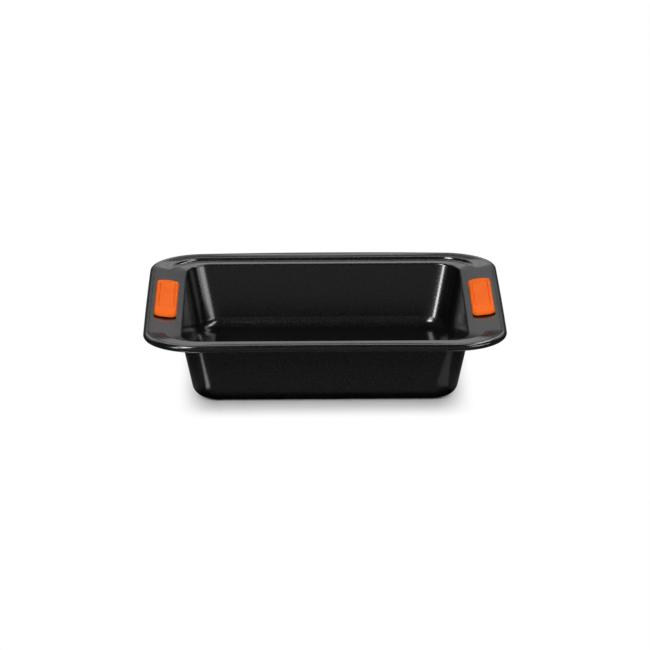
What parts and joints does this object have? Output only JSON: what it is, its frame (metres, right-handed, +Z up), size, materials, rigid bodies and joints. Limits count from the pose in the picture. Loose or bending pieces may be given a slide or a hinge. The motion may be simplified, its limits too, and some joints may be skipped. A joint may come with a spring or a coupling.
{
  "type": "square cake pan",
  "caption": "Square non-stick baking pan with tapered walls, a stepped flat rim with a rolled, wired edge, and a silicone grip set into the wing on each side.",
  "frame": {"origin": "middle of the underside of the base, where the pan rests", "axes": "+Z up out of the mouth of the pan; the grips lie at +X and -X; +Y is the back, which is like the front"},
  "size_m": [0.29, 0.275, 0.0601],
  "materials": {
    "non_stick_coating": "charcoal black non-stick coating on steel, satin with a fine grain",
    "wire": "plain drawn steel",
    "silicone": "orange silicone, satin"
  },
  "bodies": {
    "root": {"pan_shell": "non_stick_coating", "rim_wire": "wire", "left_grip": "silicone", "right_grip": "silicone"}
  },
  "joints": []
}
